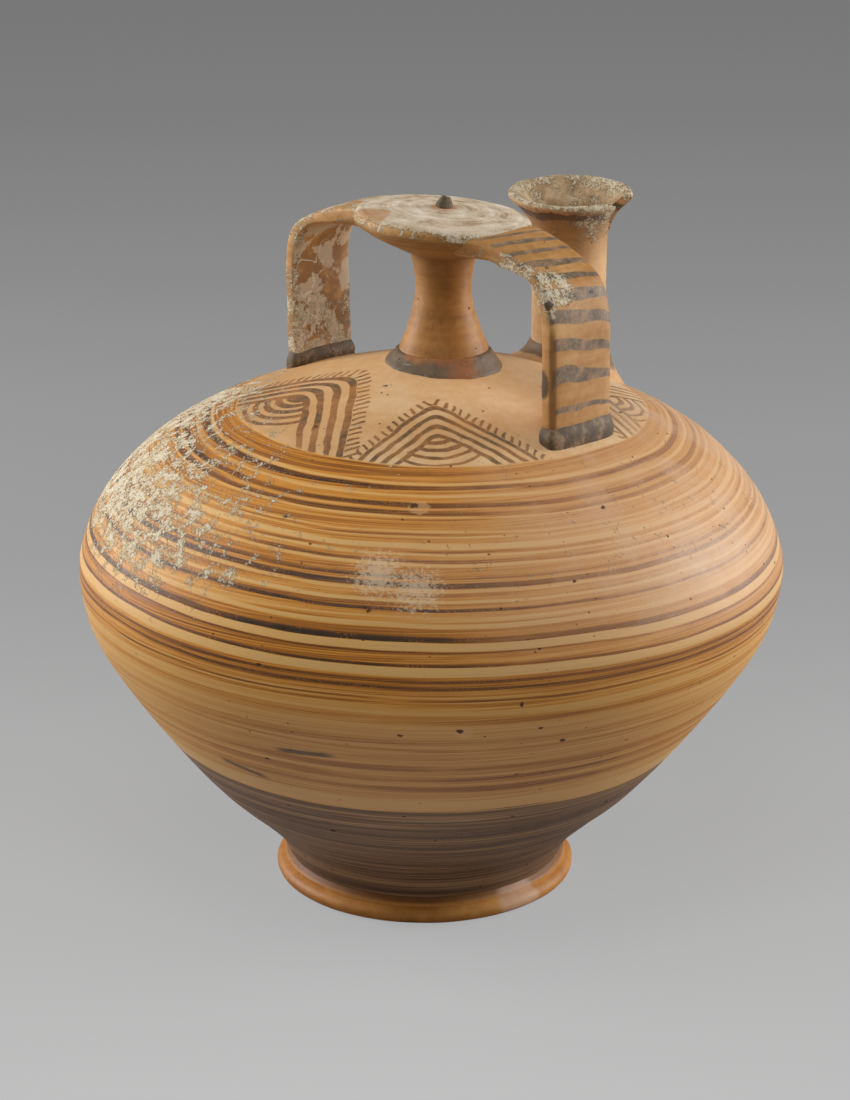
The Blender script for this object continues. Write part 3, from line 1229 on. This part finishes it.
# %% Finish: the right strap, with dark bars across its outer face
# Each bar: how far along the strap its middle is, half its width, and how much of it is left
bars = (
    (30.6, 1.4, 0.8), (37.6, 2.0, 0.95), (45.0, 1.7, 0.9), (53.0, 2.7, 0.9), (61.0, 2.6, 0.8),
    (69.6, 3.2, 1.0), (77.4, 2.9, 1.0), (86.2, 2.3, 0.9), (94.2, 2.5, 1.0), (103.0, 1.3, 0.7),
)
BARS_START, BARS_END = 28.0, 108.0
right = StrapFinish("right_strap_clay", 1)
outer_face = step(right.outward * 0.8 + right.up * 0.9, 0.3, 0.6)
wavy = spread(cloud(right.place, 11, detail=2, rough=0.4, seed=25), 1.5)
# Distance along the outer face, measured from the disc: over the arm and then down the leg
travel = right.out + (222.8 - right.z) * 0.86
slant = right.across * (0.18 - step(right.z, 186, 178) * 0.16)
travel = travel + wavy * 0.7 - slant
stops = [(0.0, 0.0)]
for middle, half, left_over in bars:
    ends = ((middle - half, 0.0), (middle, left_over), (middle + half, 0.0))
    stops += [((at - BARS_START) / (BARS_END - BARS_START), height) for at, height in ends]
peaks = grey_ramp(mapped(travel, BARS_START, BARS_END), *stops)
striped = step(peaks - step(right.across, -6.0, 13.0) * 0.22, 0.1, 0.28)
bar_mask = striped * outer_face * step(abs(right.across) + wavy, 13.6, 12.4)
flaked = step(cloud(right.place, 1.4, detail=4, rough=0.8, seed=28), 0.6, 0.5)
right.lay(bar_mask * (0.6 + flaked * 0.34), ramp(
    cloud(right.place, 5, detail=5, rough=0.75, seed=26),
    (0.36, 84, 74, 60), (0.5, 112, 98, 82), (0.64, 158, 124, 96),
))
on_arm = step(right.across, -9.5, -12.4) * step(right.z, 196.0, 203.0)
amount = on_arm * 0.46 + near(right.place, (54, -8, 216), 14) * 0.62
amount = amount + near(right.place, (59.5, -3, 210), 11, (1, 1, 1.1)) * 0.8
mask, crust = right.crust(smaller(amount, 0.64), patch=4.0, strength=0.86)
from_corner = distance(right.out - 59.9, right.across + 13.2)
right.lay(step(from_corner, 1.9, 0.8) * step(right.z, 201.0, 197.0) * 0.6, (112, 72, 34))
dark_spots = larger(*(
    step(near(shaken(right.place, 1.2, 1.2), spot, size, (1, 0.5, tall)), 0.1, 0.4)
    for spot, size, tall in (((58.8, -11.0, 182.0), 3.6, 0.6), ((60.2, -10.5, 207.0), 1.6, 0.9))
))
right.lay(dark_spots * 0.85, (62, 50, 38))
right.give_limed(mask, crust, right_strap)
print(len(bars), "bars on", right_strap.name)

# %% Finish: the left strap, with films and ringed patches of lime on its inner face
left = StrapFinish("left_strap_crust", -1)
inner_face = step(left.outward, -0.3, -0.7)
brown = inner_face * step(cloud(left.place, 12, detail=4, rough=0.6, seed=27), 0.4, 0.52)
left.lay(brown * 0.66, (126, 88, 46))
filmy = inner_face * step(cloud(left.place, 10, detail=4, rough=0.55, seed=30), 0.48, 0.52)
left.lay(filmy * 0.72, (206, 188, 160))
# A line where noise passes a half: it closes round the patches like a contour on a map
contour = abs(cloud(left.place, 9, detail=3, rough=0.5, seed=29) - 0.5)
contour_line = inner_face * step(contour, 0.026, 0.012) * step(left.across, 3.0, -4.0)
left.lay(contour_line * 0.75, (214, 202, 178))
near_edge = step(left.across, -9.0, -12.0)
amount = larger(inner_face * 0.3 + near_edge * 0.3, near_edge * 0.46)
amount = larger(amount, step(left.up, -0.3, 0.5) * 0.58)
amount = amount + step(left.z, 192.0, 184.0) * 0.2
mask, crust = left.crust(smaller(amount, 0.6), patch=5.0, strength=0.86)
left.give_limed(mask, crust, left_strap)

# %% Finish: the straps' painted feet
FOOT_OUT = 57.8
HALF_THICK, HALF_WIDE = 3.3, 13.0
for name, piece, side, lime_amount in (
    ("left_foot_paint", left_foot, -1, 0.34), ("right_foot_paint", right_foot, 1, 0.2),
):
    pad = Finish(name, (190, 142, 92), (206, 162, 114), (216, 178, 134), pits=0.3)
    wavy = (cloud(pad.place, 5, detail=3, rough=0.6, seed=31) - 0.5) * 3.0
    past_sides = abs(pad.x - (neck_centre.x + side * FOOT_OUT)) - HALF_THICK
    past_ends = abs(pad.y - neck_centre.y) - HALF_WIDE
    dark = step(larger(past_sides, past_ends) + wavy, 3.0, 2.2)
    pad.lay(dark * 0.92, ramp(
        cloud(pad.place, 4.4, detail=4, rough=0.65, seed=32),
        (0.4, 56, 48, 38), (0.54, 80, 66, 50), (0.7, 146, 122, 96),
    ))
    mask, crust = pad.crust(lime_amount, patch=3.0, strength=0.85)
    pad.give(0.62, pad.height + crust * 0.6, piece)

# %% [markdown]
# The spout has a dark line painted under its lip and a brown wash below that, and the mouth is
# full of lime. The roll of clay at its foot has a dark band.

# %% Finish: the spout
pourer = Finish("spout_clay", (190, 144, 92), (208, 164, 112), (220, 182, 134), pits=0.6)
up = facing(pourer.place)[2]
toward = (pourer.x - pourer.y - (spout_centre.x - spout_centre.y)) * DIAGONAL
levelled = pourer.z + toward * 0.06 * step(pourer.z, 200.0, 214.0)
level = levelled + spread(cloud(pourer.place, 9, detail=4, rough=0.6, seed=41), 2.0)
wash = grey_ramp(
    mapped(level, 190.0, 226.0), (0.0, 0.0), (0.3, 0.0), (0.4, 0.25), (0.56, 0.5), (0.7, 0.6),
    (0.735, 0.62), (0.75, 0.95), (0.82, 1.0), (0.835, 0.3), (1.0, 0.12),
)
wash_colour = ramp(wash, (0.3, 150, 100, 48), (0.62, 116, 78, 38), (0.9, 78, 64, 52))
pourer.lay(wash * step(up, 0.5, 0.2) * (0.6 + pourer.cloud * 0.6), wash_colour)
in_mouth = step(up, 0.15, 0.5) * step(pourer.z, 206.0, 212.0)
pourer.lay(in_mouth * 0.7, ramp(
    cloud(pourer.place, 8, detail=4, rough=0.6, seed=42),
    (0.4, 134, 112, 80), (0.5, 172, 150, 116), (0.6, 204, 188, 158),
))
amount = step(pourer.z, 192.0, 212.0) * 0.38 + in_mouth * 0.04 + step(levelled, 219.8, 222.2) * 0.2
amount = amount + near(pourer.place, (18, 60, 220), 14) * 0.3
mask, crust = pourer.crust(smaller(amount, 0.66), patch=4.4, pale=(0.72, 214, 204, 182))
relief = pourer.height + pourer.fine * 0.1 + crust * 0.6
pourer.give(larger(0.45 + pourer.cloud * 0.2, mask * 0.88), relief, spout)

# %% Finish: the fillet at the spout's foot
fillet = Finish("fillet_clay", (184, 134, 84), (204, 158, 108), (214, 174, 128), pits=0.3)
wavy = (cloud(fillet.place, 6, detail=3, seed=45) - 0.5) * 4.0
band = step(from_axis(fillet.place, spout_centre) + wavy, 16.6, 15.6)
fillet.lay(band * 0.8, (96, 78, 60))
fillet.give(0.55, fillet.height, spout_fillet)

# %% [markdown]
# The scene is a pale grey floor with soft lamps on both sides and above, as in a museum studio.
# The floor grows darker towards the back, and to the camera it shows mostly this shade, so that
# the lamps' pools of light stay faint on it.

# %% The floor
bm = bmesh.new()
bmesh.ops.create_grid(bm, x_segments=1, y_segments=1, size=6)
mesh = bpy.data.meshes.new("Floor")
bm.to_mesh(mesh)
bm.free()
floor = bpy.data.objects.new("Floor", mesh)
bpy.context.scene.collection.objects.link(floor)
paper = bpy.data.materials.new("grey_paper")
paper.use_nodes = True
matt = paper.node_tree.nodes["Principled BSDF"]
matt.inputs["Base Color"].default_value = (0.42, 0.42, 0.42, 1)
matt.inputs["Roughness"].default_value = 0.9
to_right, to_back, _ = split(Value(node(paper.node_tree, "TexCoord").outputs["Object"]))
shades = (
    (0.0, 195), (0.085, 180), (0.18, 159), (0.24, 149), (0.32, 147), (0.5, 137), (0.75, 129), (1.0, 125),
)
greys = ((at, shade, shade, shade) for at, shade in shades)
sheet = ramp(mapped((to_back - to_right) * DIAGONAL, -0.16, 1.84), *greys)
glow = node(paper.node_tree, "Emission", sheet)
seen = Value(node(paper.node_tree, "LightPath").outputs["Is Camera Ray"]) * 0.8
mixed = node(paper.node_tree, "MixShader", seen, Value(matt.outputs[0]), Value(glow.outputs[0]))
feed(paper.node_tree.nodes["Material Output"].inputs["Surface"], Value(mixed.outputs[0]))
mesh.materials.append(paper)
print("floor with", len(shades), "shades")

# %% Lamps and world
MIDDLE = Vector((0, 0, 0.12))


def lamp(name, bearing, height, distance, size, power, shine):
    """A soft lamp that looks at the middle of the jar, from a bearing and a height in degrees."""
    data = bpy.data.lights.new(name, "AREA")
    data.shape, data.size, data.size_y, data.energy = "RECTANGLE", *size, power
    data.specular_factor = shine
    made = bpy.data.objects.new(name, data)
    bearing, height = math.radians(bearing), math.radians(height)
    level_way = Vector((math.cos(bearing), math.sin(bearing), 0)) * math.cos(height)
    way = level_way + Vector((0, 0, math.sin(height)))
    made.location = MIDDLE + way * distance
    made.rotation_euler = way.to_track_quat("Z", "Y").to_euler()
    bpy.context.scene.collection.objects.link(made)


lamp("left_box", 205, 18, 1.0, (0.5, 0.6), 9.3, 0.3)
lamp("right_box", 58, 15, 1.0, (0.5, 0.6), 9.0, 0.45)
lamp("top_box", -60, 62, 1.3, (0.7, 0.7), 6.4, 0.5)
world = bpy.data.worlds.new("studio")
bpy.context.scene.world = world
world.use_nodes = True
world.node_tree.nodes["Background"].inputs["Color"].default_value = (0.5, 0.5, 0.5, 1)
world.node_tree.nodes["Background"].inputs["Strength"].default_value = 0.44
print("three lamps and the world")

# %% [markdown]
# The camera looks down by 19 degrees from the front, with the spout behind and to the right.

# %% The camera
AZIMUTH, ELEVATION, DISTANCE = math.radians(45), math.radians(18.94), 0.9775
away = Vector((
    math.sin(AZIMUTH) * math.cos(ELEVATION),
    -math.cos(AZIMUTH) * math.cos(ELEVATION),
    math.sin(ELEVATION),
))
camera = bpy.data.objects.new("camera", bpy.data.cameras.new("camera"))
camera.location = Vector((0, 0, 0.112)) + away * DISTANCE
camera.rotation_euler = away.to_track_quat("Z", "Y").to_euler()
camera.data.lens = 97.6
camera.data.sensor_width = 36
camera.data.shift_x = -6 / 1100
bpy.context.scene.collection.objects.link(camera)
bpy.context.scene.camera = camera
bpy.context.scene.view_settings.view_transform = "Standard"
print("camera with a", camera.data.lens, "mm lens")
